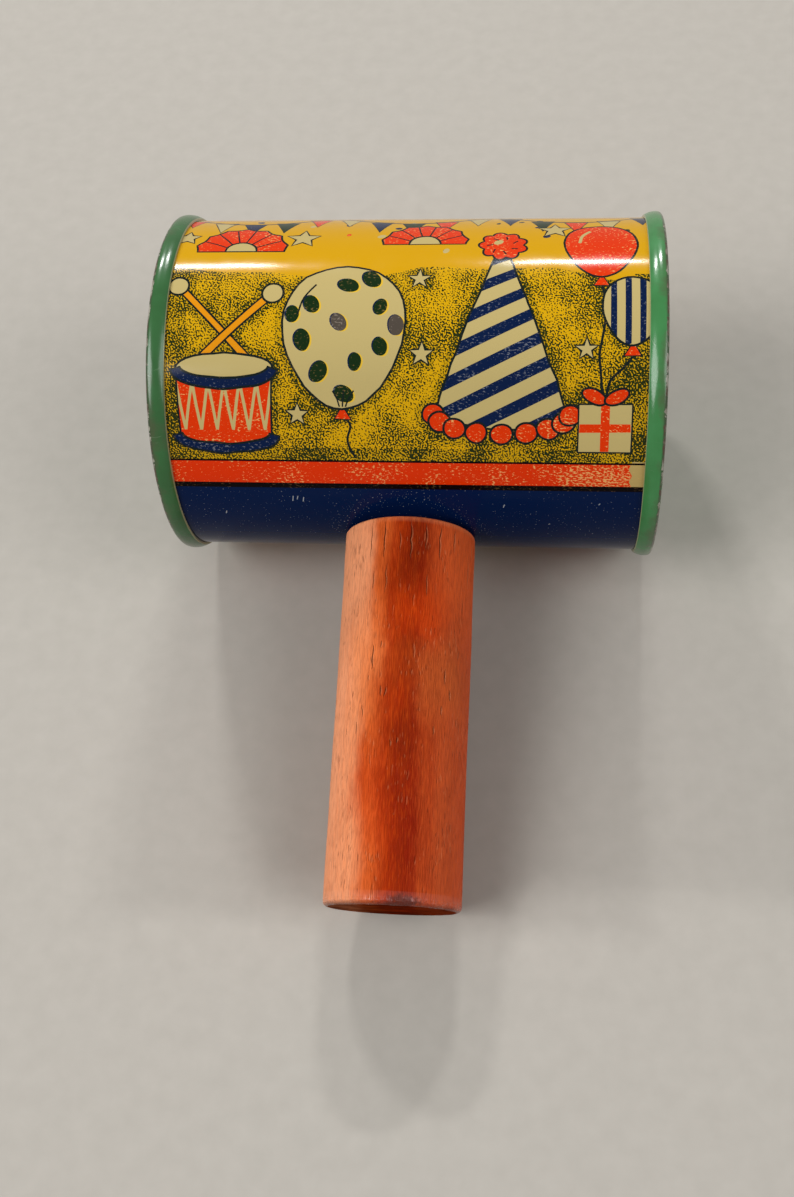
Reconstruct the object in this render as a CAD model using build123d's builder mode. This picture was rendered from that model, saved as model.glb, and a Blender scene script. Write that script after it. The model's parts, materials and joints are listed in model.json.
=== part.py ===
"""A gragger: a tin drum that spins on a wooden handle, with spring reeds that snap over a ratchet wheel.

The toy lies on a table, on the beads of its two end caps and the edge of its handle's end.
Z is up, X runs along the drum, and the handle points towards -Y. The origin is on the table,
under the middle of the toy. Lengths are in millimetres and angles in degrees.
"""

import math
import os

from build123d import *

os.makedirs("parts", exist_ok=True)

# Wooden handle, a length of one-inch dowel
handle_diameter = 25.4
handle_length = 72.0
handle_end_round = 0.9
handle_top_round = 0.5
handle_gap = 0.4  # from the drum's skin to the handle's flat top

# Steel axle, driven into the handle and peened over beyond the drum
axle_diameter = 4.0
axle_grip = 42.0  # length inside the handle
axle_point = 0.8  # bevel on the driven end
head_diameter = 7.0
head_height = 1.6

# Tinplate drum
tin = 0.3  # sheet thickness
shell_diameter = 65.6
drum_length = 95.0  # over both end caps
seam_width = 4.5
seam_height = 0.7  # how far the folded lock seam stands into the drum
seam_angle = 35.0  # round the drum from the handle, over the underside
seam_stop = 2.0  # seam's end to the cap's panel

# End caps
flange_width = 3.4
bead_height = 1.2  # above the shell's skin
lip_thickness = 0.4
rim_fold = 0.5  # metal beyond the shell's cut edge
panel_recess = 1.6  # panel below the rim's crest
panel_corner = 0.6
ring_margin = 3.15  # panel's wall to the stiffening ring pressed into it
ring_width = 3.0
ring_height = 0.7

# Eyelets that carry the axle, and the washers beyond them
eyelet_wall = 0.7
eyelet_flange = 2.2  # beyond the barrel
flange_thickness = 0.4
washer_diameter = 11.0
washer_thickness = 0.8

# Ratchet wheel, pinned to the axle
tooth_count = 12
wheel_tip_diameter = 22.0
wheel_root_diameter = 16.4
tooth_round = 0.5
wheel_width = 10.0
hub_diameter = 12.0
hub_length = 5.0
wheel_pin_diameter = 1.5

# Spring reeds with a V-bent tip, one from each end cap
reed_thickness = 0.5
reed_width = 12.0
reed_lift = 0.8  # blade above the tips of the teeth
tip_seat = 0.75  # bent tip above the root of the tooth gap
tip_half_angle = 32.0
tip_bend = 0.7  # bend radius at the sheet's middle
tail_height = 2.2  # free leg of the V above its point

# Brackets, clamp plates and rivets that hold the reeds
bracket_thickness = 0.8
bracket_width = 16.0
bracket_foot = 12.0  # height of the foot on the cap
bracket_reach = 12.5  # shelf from the cap's panel inwards
clamp_thickness = 1.0
clamp_length = 6.4
rivet_diameter = 2.0
rivet_head_diameter = 3.8
rivet_head_height = 0.8
foot_rivet_height = 7.5  # above the shelf's lower face
foot_rivet_pitch = 9.0
clamp_rivet_pitch = 7.0

# Clearances
running_gap = 0.05  # axle in its eyelets, on the radius
seat_gap = 0.05  # pieces that are pressed, crimped or riveted together
end_float = 0.2  # drum's play along the axle
recess_gap = 0.3  # washer in the handle's recess, on the radius
reed_play = 0.4  # reed in its clamp, above, below and round its rivets

# Sizes that follow from the ones above
handle_radius = handle_diameter / 2
axle_radius = axle_diameter / 2
shell_radius = shell_diameter / 2
shell_inside = shell_radius - tin
bead_radius = shell_radius + bead_height
drum_half = drum_length / 2
handle_start = shell_radius + handle_gap
handle_end = handle_start + handle_length
bearing_radius = axle_radius + running_gap
barrel_radius = bearing_radius + eyelet_wall
flange_radius = barrel_radius + eyelet_flange
washer_start = shell_radius + flange_thickness + end_float
head_start = washer_start + washer_thickness
head_top = head_start + head_height
head_sphere = ((head_diameter / 2) ** 2 + head_height**2) / (2 * head_height)

# The drum lies on its beads, and the handle drops until the round of its end meets the table.
handle_reach = handle_end - handle_end_round
handle_core = handle_radius - handle_end_round
drop_height = bead_radius - handle_end_round
tilt = math.asin(drop_height / math.hypot(handle_reach, handle_core)) - math.atan2(handle_core, handle_reach)
front_extent = handle_reach * math.cos(tilt) + handle_core * math.sin(tilt) + handle_end_round
back_extent = max(bead_radius, (head_top - head_sphere) * math.cos(tilt) + head_sphere)
drum_centre = (0, (front_extent - back_extent) / 2, bead_radius)

# Planes that the pieces are drawn on: square to the axle, along it, and square to the drum
axle = Plane(origin=drum_centre, x_dir=(1, 0, 0), z_dir=(0, -math.cos(tilt), -math.sin(tilt)))
axle_section = Plane(origin=axle.origin, x_dir=axle.x_dir, z_dir=-axle.y_dir)
drum_section = Plane(origin=axle.origin, x_dir=axle.z_dir, z_dir=axle.x_dir)
axle_axis = Axis(axle.origin, axle.z_dir)
drum_axis = Axis(axle.origin, axle.x_dir)

# On each side X points out to the end cap and Y to that side's reed.
left_side = Plane(origin=axle.origin, x_dir=-axle.x_dir, z_dir=axle.z_dir)
sides = {"left": left_side, "right": axle}


def save(part, node):
    part.label = node
    export_step(part, f"parts/{node}.step")


# Handle: bored for the axle, with a shallow recess for the thrust washer
recess_depth = head_start - handle_start
with BuildPart() as handle:
    with BuildSketch(axle.offset(handle_start)):
        Circle(handle_radius)
    extrude(amount=handle_length)
    ends = handle.edges().filter_by(GeomType.CIRCLE).sort_by(axle_axis)
    fillet(ends[-1], radius=handle_end_round)
    fillet(ends[0], radius=handle_top_round)
    with BuildSketch(axle.offset(handle_start)):
        Circle(washer_diameter / 2 + recess_gap)
    extrude(amount=recess_depth, mode=Mode.SUBTRACT)
    with BuildSketch(axle.offset(handle_start)):
        Circle(axle_radius)
    extrude(amount=axle_grip, mode=Mode.SUBTRACT)
save(handle.part, "handle")

# Axle: a plain rod with a bevelled driven end, a cross hole for the wheel's pin and a domed, peened head
pin_height = wheel_width / 2 + hub_length / 2
pin_plane = Plane(origin=axle.offset(pin_height).origin, x_dir=axle.y_dir, z_dir=axle.x_dir)
with BuildPart() as axle_rod:
    with BuildSketch(axle.offset(-head_start)):
        Circle(axle_radius)
    extrude(amount=head_start + handle_start + axle_grip)
    driven_end = axle_rod.edges().filter_by(GeomType.CIRCLE).sort_by(axle_axis)[-1]
    chamfer(driven_end, length=axle_point)
    with BuildSketch(axle_section):
        with BuildLine():
            Line((0, -head_start), (head_diameter / 2, -head_start))
            RadiusArc((head_diameter / 2, -head_start), (0, -head_top), head_sphere)
            Line((0, -head_top), (0, -head_start))
        make_face()
    revolve(axis=axle_axis)
    with BuildSketch(pin_plane):
        Circle(wheel_pin_diameter / 2 + seat_gap)
    extrude(amount=axle_diameter, both=True, mode=Mode.SUBTRACT)
save(axle_rod.part, "axle")

# Washers: one in the handle's recess, one under the axle's head
for node, start in (("thrust_washer", washer_start), ("top_washer", -head_start)):
    with BuildPart() as washer:
        with BuildSketch(axle.offset(start)):
            Circle(washer_diameter / 2)
            Circle(axle_radius + seat_gap, mode=Mode.SUBTRACT)
        extrude(amount=washer_thickness)
    save(washer.part, node)

# Ratchet wheel: symmetrical rounded teeth, so that it sounds both ways, with a hub on the handle's side
root_radius = wheel_root_diameter / 2
tip_radius = wheel_tip_diameter / 2
tooth_pitch = 360 / tooth_count
reed_angle = 90  # a tooth gap faces the right-hand reed, along Y
wheel_points = []
for tooth in range(tooth_count):
    gap_angle = math.radians(reed_angle + tooth * tooth_pitch)
    tip_angle = math.radians(reed_angle + (tooth + 0.5) * tooth_pitch)
    wheel_points.append((root_radius * math.cos(gap_angle), root_radius * math.sin(gap_angle)))
    wheel_points.append((tip_radius * math.cos(tip_angle), tip_radius * math.sin(tip_angle)))

with BuildPart() as ratchet_wheel:
    with BuildSketch(axle) as wheel_outline:
        with BuildLine():
            Polyline(*wheel_points, close=True)
        make_face()
        fillet(wheel_outline.vertices(), radius=tooth_round)
    extrude(amount=wheel_width / 2, both=True)
    with BuildSketch(axle.offset(wheel_width / 2)):
        Circle(hub_diameter / 2)
    extrude(amount=hub_length)
    with BuildSketch(axle):
        Circle(axle_radius + seat_gap)
    extrude(amount=wheel_width + hub_length, both=True, mode=Mode.SUBTRACT)
    with BuildSketch(pin_plane):
        Circle(wheel_pin_diameter / 2 + seat_gap)
    extrude(amount=hub_diameter, both=True, mode=Mode.SUBTRACT)
save(ratchet_wheel.part, "ratchet_wheel")

with BuildPart() as wheel_pin:
    with BuildSketch(pin_plane):
        Circle(wheel_pin_diameter / 2)
    extrude(amount=hub_diameter / 2, both=True)
save(wheel_pin.part, "wheel_pin")

# Drum shell: one rolled sheet with a lock seam folded inwards and a hole at each end of the axle
panel_outer = drum_half - panel_recess
panel_inner = panel_outer - tin
shell_half = drum_half - rim_fold - seat_gap
with BuildPart() as drum_shell:
    with BuildSketch(drum_section):
        Circle(shell_radius)
        Circle(shell_inside, mode=Mode.SUBTRACT)
    extrude(amount=shell_half, both=True)
    with BuildSketch(drum_section):
        with PolarLocations(shell_inside - seam_height, 1, start_angle=seam_angle):
            Rectangle(seam_height + tin / 2, seam_width, align=(Align.MIN, Align.CENTER))
    extrude(amount=panel_inner - seam_stop, both=True)
    with BuildSketch(axle):
        Circle(barrel_radius + seat_gap)
    extrude(amount=shell_diameter, both=True, mode=Mode.SUBTRACT)
save(drum_shell.part, "drum_shell")

# Eyelets: a barrel through the shell, with a flange turned over on the outside and on the inside
inner_flange_face = math.sqrt(shell_inside**2 - flange_radius**2) - seat_gap
for node, way in (("lower_eyelet", 1), ("upper_eyelet", -1)):
    with BuildPart() as eyelet:
        with BuildSketch(axle_section):
            with BuildLine():
                Polyline(
                    (bearing_radius, way * (shell_radius + flange_thickness)),
                    (flange_radius, way * (shell_radius + flange_thickness)),
                    (flange_radius, way * shell_radius),
                    (barrel_radius, way * shell_radius),
                    (barrel_radius, way * inner_flange_face),
                    (flange_radius, way * inner_flange_face),
                    (flange_radius, way * (inner_flange_face - flange_thickness)),
                    (bearing_radius, way * (inner_flange_face - flange_thickness)),
                    close=True,
                )
            make_face()
        revolve(axis=axle_axis)
    save(eyelet.part, node)

# Heights of the reed, its bracket and its clamp above the wheel's centre, and their reach from the axle
reed_bottom = tip_radius + reed_lift
reed_middle = reed_bottom + reed_thickness / 2
shelf_bottom = reed_bottom + reed_thickness + reed_play
shelf_top = shelf_bottom + bracket_thickness
clamp_top = reed_bottom - reed_play
clamp_bottom = clamp_top - clamp_thickness
shelf_tip = panel_inner - bracket_reach
reed_root = shelf_tip + clamp_length
reed_hinge = shelf_tip + clamp_length / 2
foot_inner = panel_inner - bracket_thickness
foot_rivet_level = shelf_bottom + foot_rivet_height

# The V-bent tip: the bend's round lifts the sheet above the corner of its two legs.
half_angle = math.radians(tip_half_angle)
tip_lowest = root_radius + tip_seat
tip_corner = tip_lowest + reed_thickness / 2 - tip_bend * (1 / math.sin(half_angle) - 1)
blade_bend = (reed_middle - tip_corner) * math.tan(half_angle)
tail_reach = tail_height * math.tan(half_angle)

# The end cap's section: panel with a pressed ring, wall inside the shell's edge, fold and rolled bead
wall_outer = shell_inside - seat_gap
panel_radius = wall_outer - tin
channel_end = shell_half + seat_gap
crest_radius = shell_radius - tin / 2
bead_top = drum_half - (bead_radius - crest_radius)
fold_start = drum_half - (crest_radius - panel_radius)
lip_edge = drum_half - flange_width
lip_inner = shell_radius + seat_gap
ring_outside = panel_radius - ring_margin
ring_middle = ring_outside - ring_width / 2
ring_inside = ring_outside - ring_width

for side_name, side in sides.items():
    shelf_plane = Plane(origin=side.origin, x_dir=side.x_dir, z_dir=side.y_dir)
    foot_plane = Plane(origin=side.origin, x_dir=side.y_dir, z_dir=side.x_dir)
    foot_rivets = [
        (foot_rivet_level, -foot_rivet_pitch / 2),
        (foot_rivet_level, foot_rivet_pitch / 2),
    ]
    clamp_rivets = [
        (reed_hinge, -clamp_rivet_pitch / 2),
        (reed_hinge, clamp_rivet_pitch / 2),
    ]

    # End cap, with two holes for the bracket's rivets
    with BuildPart() as end_cap:
        with BuildSketch(side):
            with BuildLine():
                Line((panel_inner, 0), (panel_inner, ring_inside))
                ThreePointArc(
                    (panel_inner, ring_inside),
                    (panel_inner + ring_height, ring_middle),
                    (panel_inner, ring_outside),
                )
                Polyline(
                    (panel_inner, ring_outside),
                    (panel_inner, wall_outer),
                    (channel_end, wall_outer),
                    (channel_end, lip_inner),
                    (lip_edge, lip_inner),
                    (lip_edge, lip_inner + lip_thickness),
                )
                TangentArc((bead_top, bead_radius), (lip_edge, lip_inner + lip_thickness), tangent=(-1, 0))
                TangentArc((bead_top, bead_radius), (drum_half, crest_radius), tangent=(1, 0))
                TangentArc((drum_half, crest_radius), (fold_start, panel_radius), tangent=(0, -1))
                Line((fold_start, panel_radius), (panel_outer + panel_corner, panel_radius))
                TangentArc(
                    (panel_outer + panel_corner, panel_radius),
                    (panel_outer, panel_radius - panel_corner),
                    tangent=(-1, 0),
                )
                Line((panel_outer, panel_radius - panel_corner), (panel_outer, ring_outside))
                ThreePointArc(
                    (panel_outer, ring_outside),
                    (panel_outer + ring_height, ring_middle),
                    (panel_outer, ring_inside),
                )
                Polyline((panel_outer, ring_inside), (panel_outer, 0), (panel_inner, 0))
            make_face()
        revolve(axis=drum_axis)
        with BuildSketch(foot_plane):
            with Locations(*foot_rivets):
                Circle(rivet_diameter / 2 + seat_gap)
        extrude(amount=drum_length, mode=Mode.SUBTRACT)
    save(end_cap.part, f"{side_name}_end_cap")

    # Reed bracket: a foot on the cap and a shelf over the reed's root
    with BuildPart() as reed_bracket:
        with BuildSketch(side):
            with BuildLine():
                Polyline(
                    (shelf_tip, shelf_bottom),
                    (panel_inner, shelf_bottom),
                    (panel_inner, shelf_bottom + bracket_foot),
                    (foot_inner, shelf_bottom + bracket_foot),
                    (foot_inner, shelf_top),
                    (shelf_tip, shelf_top),
                    close=True,
                )
            make_face()
        extrude(amount=bracket_width / 2, both=True)
        with BuildSketch(foot_plane):
            with Locations(*foot_rivets):
                Circle(rivet_diameter / 2 + seat_gap)
        extrude(amount=drum_length, mode=Mode.SUBTRACT)
        with BuildSketch(shelf_plane):
            with Locations(*clamp_rivets):
                Circle(rivet_diameter / 2 + seat_gap)
        extrude(amount=shell_radius, mode=Mode.SUBTRACT)
    save(reed_bracket.part, f"{side_name}_reed_bracket")

    # Clamp plate under the reed's root
    with BuildPart() as clamp_plate:
        with BuildSketch(side):
            with Locations((shelf_tip, clamp_bottom)):
                Rectangle(clamp_length, clamp_thickness, align=Align.MIN)
        extrude(amount=bracket_width / 2, both=True)
        with BuildSketch(shelf_plane):
            with Locations(*clamp_rivets):
                Circle(rivet_diameter / 2 + seat_gap)
        extrude(amount=shell_radius, mode=Mode.SUBTRACT)
    save(clamp_plate.part, f"{side_name}_clamp_plate")

    # Reed: a flat strip from the clamp to the wheel, with its tip bent to a V in a tooth gap
    with BuildPart() as reed:
        with BuildSketch(side):
            with BuildLine() as reed_path:
                FilletPolyline(
                    (reed_root, reed_middle),
                    (blade_bend, reed_middle),
                    (0, tip_corner),
                    (-tail_reach, tip_corner + tail_height),
                    radius=tip_bend,
                )
            trace(reed_path.edges(), line_width=reed_thickness)
        extrude(amount=reed_width / 2, both=True)
        with BuildSketch(shelf_plane):
            with Locations(*clamp_rivets):
                Circle(rivet_diameter / 2 + reed_play)
        extrude(amount=shell_radius, mode=Mode.SUBTRACT)
    save(reed.part, f"{side_name}_reed")

    # Rivets: a shank between two flat heads, through the foot and the cap, and through shelf and clamp
    rivet_sets = (
        ("bracket_rivets", foot_plane, foot_rivets, foot_inner, panel_outer),
        ("clamp_rivets", shelf_plane, clamp_rivets, clamp_bottom, shelf_top),
    )
    for node, plane, spots, bottom, top in rivet_sets:
        with BuildPart() as rivets:
            for level in (bottom - rivet_head_height, top):
                with BuildSketch(plane.offset(level)):
                    with Locations(*spots):
                        Circle(rivet_head_diameter / 2)
                extrude(amount=rivet_head_height)
            with BuildSketch(plane.offset(bottom)):
                with Locations(*spots):
                    Circle(rivet_diameter / 2)
            extrude(amount=top - bottom)
        save(rivets.part, f"{side_name}_{node}")
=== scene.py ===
import json
import math
import random

import bmesh
import bpy
import numpy as np
from mathutils import Matrix, Vector, geometry, noise


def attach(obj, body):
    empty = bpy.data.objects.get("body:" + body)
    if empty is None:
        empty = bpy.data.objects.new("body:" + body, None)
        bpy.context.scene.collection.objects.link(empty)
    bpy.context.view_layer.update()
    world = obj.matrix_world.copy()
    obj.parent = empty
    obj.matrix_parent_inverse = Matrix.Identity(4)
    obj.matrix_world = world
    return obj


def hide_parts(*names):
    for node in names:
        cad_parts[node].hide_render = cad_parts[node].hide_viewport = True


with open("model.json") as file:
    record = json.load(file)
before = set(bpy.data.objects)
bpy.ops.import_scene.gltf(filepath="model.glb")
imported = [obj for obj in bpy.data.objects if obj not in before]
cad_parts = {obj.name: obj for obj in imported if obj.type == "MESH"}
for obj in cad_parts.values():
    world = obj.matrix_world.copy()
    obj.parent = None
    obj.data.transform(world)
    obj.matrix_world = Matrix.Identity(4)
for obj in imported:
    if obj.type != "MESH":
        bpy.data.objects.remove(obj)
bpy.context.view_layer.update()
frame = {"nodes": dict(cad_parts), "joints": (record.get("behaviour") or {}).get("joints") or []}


# Handle: a length of one-inch beech dowel, sawn square, its edges eased and its surface dipped in red stain.
# The axle is driven into its upper end, so the handle stands still while the drum spins on it.
# Its face next to the drum has a shallow counterbore for the thrust washer. All sizes are in mm.
MM = 0.001
spin = next(joint for joint in frame["joints"] if joint["name"] == "drum_spin")
drum_centre = Vector(spin["pos_m"])
handle_way = Vector(spin["axis"]).normalized()
across = Vector((1, 0, 0))
axle_place = Matrix((across, handle_way.cross(across), handle_way)).transposed().to_4x4()
axle_place.translation = drum_centre

handle_radius = 12.7
handle_top = 33.2
handle_end = 105.2
top_round = 0.5
end_round = 0.9
counterbore_radius = 5.8
counterbore_depth = 1.0
axle_radius = 2.0
axle_tip = 75.2
end_face_ring = 7.0
wave_height = 0.10
wave_length = 18.0
knock_depth = 0.30
knock_reach = 2.0
flat_radius = 10.0


def bend(centre_radius, centre_height, radius, start, stop, steps):
    """Points (radius, height) on an arc of a turned outline, from one angle in degrees to another."""
    points = []
    for step in range(steps + 1):
        angle = math.radians(start + (stop - start) * step / steps)
        points.append((centre_radius + radius * math.cos(angle), centre_height + radius * math.sin(angle)))
    return points


def turned(outline, segments, wobble):
    """Points in metres and faces of a shape turned about Z from an outline and a wobble in mm."""
    verts = []
    rings = []
    for radius, height in outline:
        if radius < 1e-6:
            rings.append([len(verts)])
            verts.append((0, 0, height * MM))
            continue
        rings.append(range(len(verts), len(verts) + segments))
        for step in range(segments):
            angle = 2 * math.pi * step / segments
            reach = radius + wobble(angle, radius, height)
            verts.append((reach * math.cos(angle) * MM, reach * math.sin(angle) * MM, height * MM))
    faces = []
    for low, high in zip(rings, rings[1:]):
        for step in range(segments):
            after = (step + 1) % segments
            if len(low) == 1:
                faces.append((low[0], high[after], high[step]))
            elif len(high) == 1:
                faces.append((low[step], low[after], high[0]))
            else:
                faces.append((low[step], low[after], high[after], high[step]))
    return verts, faces


def put(name, data, place):
    """Puts a mesh, a lamp or a camera in the scene."""
    made = bpy.data.objects.new(name, data)
    bpy.context.scene.collection.objects.link(made)
    made.matrix_world = place
    return made


def piece_of(name, verts, faces, place):
    """A new piece of the scene from points and faces, smooth but for its sharp edges."""
    mesh = bpy.data.meshes.new(name)
    mesh.from_pydata(verts, [], faces)
    mesh.shade_smooth()
    mesh.set_sharp_from_angle(angle=math.radians(35))
    return put(name, mesh, place)


def cut_sheet(lines):
    """Cuts a flat sheet into triangles along lines of points in mm, each with whether it closes."""
    corners = []
    edges = []
    for points, closed in lines:
        first = len(corners)
        corners += [Vector(point) for point in points]
        for step in range(len(points) if closed else len(points) - 1):
            edges.append((first + step, first + (step + 1) % len(points)))
    cut = geometry.delaunay_2d_cdt(corners, edges, [], 0, 1e-5, False)
    return np.array([tuple(corner) for corner in cut[0]]), np.array([tuple(face) for face in cut[2]])


def dowel_wear(angle, radius, height):
    """Hand wear in mm: a slow waviness of the side, and knocks on the free end's edge."""
    spot = Vector((math.cos(angle), math.sin(angle), height / wave_length))
    wave = wave_height * noise.noise(spot * 1.3)
    near_end = max(0, 1 - (handle_end - height) / knock_reach)
    knock = knock_depth * near_end * max(0, noise.noise(spot * 4.5))
    return (wave - knock) * (radius > flat_radius)


# Drying cracks: degrees round from the top side, distance along the axis, length and width in mm.
# The upper side's are listed one by one, and the rest are scattered, every second one next to the drum.
cracks = [(-30, 34.0, 7.2, 0.30), (-17, 34.0, 7.6, 0.38), (6, 33.9, 8.2, 0.34), (19, 34.3, 5.6, 0.26),
          (32, 34.3, 7.2, 0.36), (47, 34.5, 4.8, 0.34), (-59, 34.5, 4.6, 0.26), (-3, 36.2, 4.2, 0.20),
          (-26, 43.7, 3.8, 0.26), (-14, 42.4, 6.2, 0.20), (-41, 49.7, 2.8, 0.26), (21, 44.2, 4.8, 0.20),
          (-22, 58.2, 5.0, 0.40), (-15, 57.6, 1.6, 0.26), (-13, 66.0, 2.2, 0.32), (-9, 66.3, 2.0, 0.28),
          (-25, 63.9, 1.4, 0.28), (-29, 69.5, 2.5, 0.30), (-34, 72.5, 2.5, 0.32), (-46, 73.4, 1.9, 0.30),
          (48, 65.7, 2.2, 0.40), (42, 61.8, 3.4, 0.28), (40, 69.0, 2.0, 0.32), (58, 70.7, 1.9, 0.26),
          (34, 73.0, 1.7, 0.26), (-3, 76.1, 1.4, 0.30), (3, 75.6, 1.2, 0.26)]
splits = random.Random(11)
for split in range(30):
    near_drum = split % 2 == 0
    start = splits.uniform(34.2, 38) if near_drum else splits.uniform(44, 96)
    length = splits.uniform(3, 9) if near_drum else splits.uniform(1.5, 4.5)
    cracks.append((splits.uniform(68, 292), start, length, splits.uniform(0.18, 0.34)))
crack_depth = 0.14
crack_steps = 15
lip_width = 0.24
lip_height = 0.05
joint_margin = 1.2
gloss_reach = 1.5
columns = 128
rows = 24
faint = 0.02
girth = 2 * math.pi * handle_radius
side_low = handle_top + top_round
side_high = handle_end - end_round
gloss_start = side_high - gloss_reach

# The side is a flat sheet, cut along rows, columns and every crack's middle, edges and raised lip.
# It is then rolled up, with the cracks sunk and their lips lifted.
side_lines = []
for step in range(columns + 1):
    column = girth * step / columns
    side_lines.append(([(column, side_low), (column, side_high)], False))
for height in (*np.linspace(side_low, side_high, rows), gloss_start):
    side_lines.append(([(0, height), (girth, height)], False))
shares = np.linspace(0, 1, crack_steps)
taper = np.sin(math.pi * shares) ** 0.7
crack_forms = []
for turn, start, length, width in cracks:
    middle = min(max(((90 - turn) % 360) / 360 * girth, joint_margin), girth - joint_margin)
    heights = start + length * shares
    sway = np.array([middle + 0.26 * noise.noise(Vector((middle, height * 0.55, 3.0)))
                     + 0.12 * noise.noise(Vector((middle, height * 1.9, 8.0))) for height in heights])
    half_widths = width / 2 * taper
    left = sway - half_widths
    right = sway + half_widths
    crack_forms.append((start, length, sway, half_widths))
    side_lines.append((list(zip(sway, heights)), False))
    side_lines.append(([*zip(left, heights), *zip(right[-2:0:-1], heights[-2:0:-1])], True))
    side_lines.append((list(zip((left - lip_width * taper)[1:-1], heights[1:-1])), False))
side_spots, side_faces = cut_sheet(side_lines)
crack_depths = np.zeros(len(side_spots))
lip_heights = np.zeros(len(side_spots))
for start, length, sway, half_widths in crack_forms:
    share = (side_spots[:, 1] - start) / length
    offset = side_spots[:, 0] - np.interp(share, shares, sway)
    half_width = np.interp(share, shares, half_widths) + 1e-6
    tapered = np.interp(share, shares, taper)
    within = (share > 0.001) & (share < 0.999)
    crack_depths = np.maximum(crack_depths, np.where(within, 1 - np.abs(offset) / half_width, 0))
    rise = (1 - np.abs(offset + half_width) / (lip_width * tapered + 1e-6)) * tapered
    lip_heights = np.maximum(lip_heights, np.where(within & (offset < -half_width * 0.9), rise, 0))
for values in (crack_depths, lip_heights):
    np.clip(values, 0, 1, out=values)
    values[values < faint] = 0

drum_end = [(0, axle_tip), (axle_radius, axle_tip), (axle_radius, handle_top + counterbore_depth),
            (counterbore_radius, handle_top + counterbore_depth), (counterbore_radius, handle_top),
            *bend(handle_radius - top_round, side_low, top_round, -90, 0, 4)]
free_end = [*bend(handle_radius - end_round, side_high, end_round, 0, 90, 6),
            (end_face_ring, handle_end), (0, handle_end)]
verts, faces = turned(drum_end, columns, dowel_wear)
end_verts, end_faces = turned(free_end, columns, dowel_wear)
faces += [tuple(corner + len(verts) for corner in face) for face in end_faces]
verts += end_verts
side_first = len(verts)
side_face_first = len(faces)
for (column, height), deep, high in zip(side_spots, crack_depths, lip_heights):
    angle = column / handle_radius
    reach = handle_radius + dowel_wear(angle, handle_radius, height) - crack_depth * deep + lip_height * high
    verts.append((reach * math.cos(angle) * MM, reach * math.sin(angle) * MM, height * MM))
faces += [tuple(int(corner) + side_first for corner in face) for face in side_faces]
handle = piece_of("stained_handle", verts, faces, axle_place)
for name, values in (("crack", crack_depths), ("lip", lip_heights)):
    all_values = [0.0] * side_first + [float(value) for value in values]
    handle.data.attributes.new(name, "FLOAT", "POINT").data.foreach_set("value", all_values)
welded = bmesh.new()
welded.from_mesh(handle.data)
bmesh.ops.remove_doubles(welded, verts=welded.verts, dist=1e-6)
welded.to_mesh(handle.data)
welded.free()

# Away from the cracks the side is shaded as a true round, so that its thin triangles don't show.
touched = np.zeros(len(handle.data.vertices))
for name in ("crack", "lip"):
    values = np.zeros(len(handle.data.vertices))
    handle.data.attributes[name].data.foreach_get("value", values)
    touched += values
side_normals = np.zeros((len(handle.data.loops), 3))
for polygon in handle.data.polygons[side_face_first:]:
    if not touched[list(polygon.vertices)].any():
        for loop in polygon.loop_indices:
            spot = handle.data.vertices[handle.data.loops[loop].vertex_index].co
            side_normals[loop] = Vector((spot.x, spot.y, 0)).normalized()
handle.data.normals_split_custom_set([tuple(normal) for normal in side_normals])


def colour(code):
    """An sRGB hex colour as linear red, green, blue and alpha."""
    parts = [int(code[place:place + 2], 16) / 255 for place in (1, 3, 5)]
    linear = [part / 12.92 if part <= 0.04045 else ((part + 0.055) / 1.055) ** 2.4 for part in parts]
    return (*linear, 1.0)


def feed(node, inputs):
    """Sets a node's inputs, listed in order or by name, or links them from other nodes. Text is a colour."""
    for name, value in inputs.items() if isinstance(inputs, dict) else enumerate(inputs):
        if isinstance(value, bpy.types.Node):
            value = next(socket for socket in value.outputs if socket.enabled)
        if isinstance(value, bpy.types.NodeSocket):
            node.id_data.links.new(value, node.inputs[name])
        else:
            node.inputs[name].default_value = colour(value) if isinstance(value, str) else value


def add(tree, kind, inputs=(), **settings):
    """Adds a node with its settings and feeds it.

    A MapRange lists its value, the range it comes from and the range it goes to.
    By the share in input 0, a colour Mix lays input 7 over input 6, and a number Mix input 3 over input 2.
    """
    made = tree.nodes.new("ShaderNode" + kind)
    for name, value in settings.items():
        setattr(made, name, value)
    feed(made, inputs)
    return made


def finish_of(name):
    """A new material, with its node tree and its surface shader."""
    made = bpy.data.materials.new(name)
    made.use_nodes = True
    return made, made.node_tree, made.node_tree.nodes["Principled BSDF"]


# Stained beech: the dye soaks in unevenly, so the eye sees streaks of orange and deep red, a soft dark band
# where it pooled, under painted shade, a pale side of painted sheen, pores as short dashes along the grain,
# and a dull handled sheen.
# The grain's noises: width and length in mm, detail, roughness, and a shift sideways in widths. Fibres and
# pores are drawn several times coarser than real ones, which would be too fine to show.
wood, tree, surface = finish_of("stained beech")
spot = add(tree, "TexCoord").outputs["Object"]
place = add(tree, "SeparateXYZ", [spot])
grain = {}
for name, wide, long, detail, rough, shift in (
        ("fibres", 0.17, 2.2, 2.0, 0.5, 0.0), ("streaks", 1.6, 30, 4.0, 0.5, 0.0),
        ("clouds", 8, 16, 4.0, 0.55, 0.0), ("tears", 4.5, 9, 2.0, 0.5, 0.0),
        ("pores", 0.34, 2.0, 1.0, 0.5, 0.0), ("pore highlights", 0.34, 2.0, 1.0, 0.5, -0.55)):
    sharp = 1 / (wide * MM)
    room = add(tree, "Mapping",
               {"Vector": spot, "Location": (shift, 0.0, 0.0), "Scale": (sharp, sharp, 1 / (long * MM))})
    grain[name] = add(tree, "TexNoise", {"Vector": room, "Scale": 1.0, "Detail": detail, "Roughness": rough})
tear_hold = add(tree, "MapRange", [grain["tears"], 0.40, 0.66, 0.76, 0.58])
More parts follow.
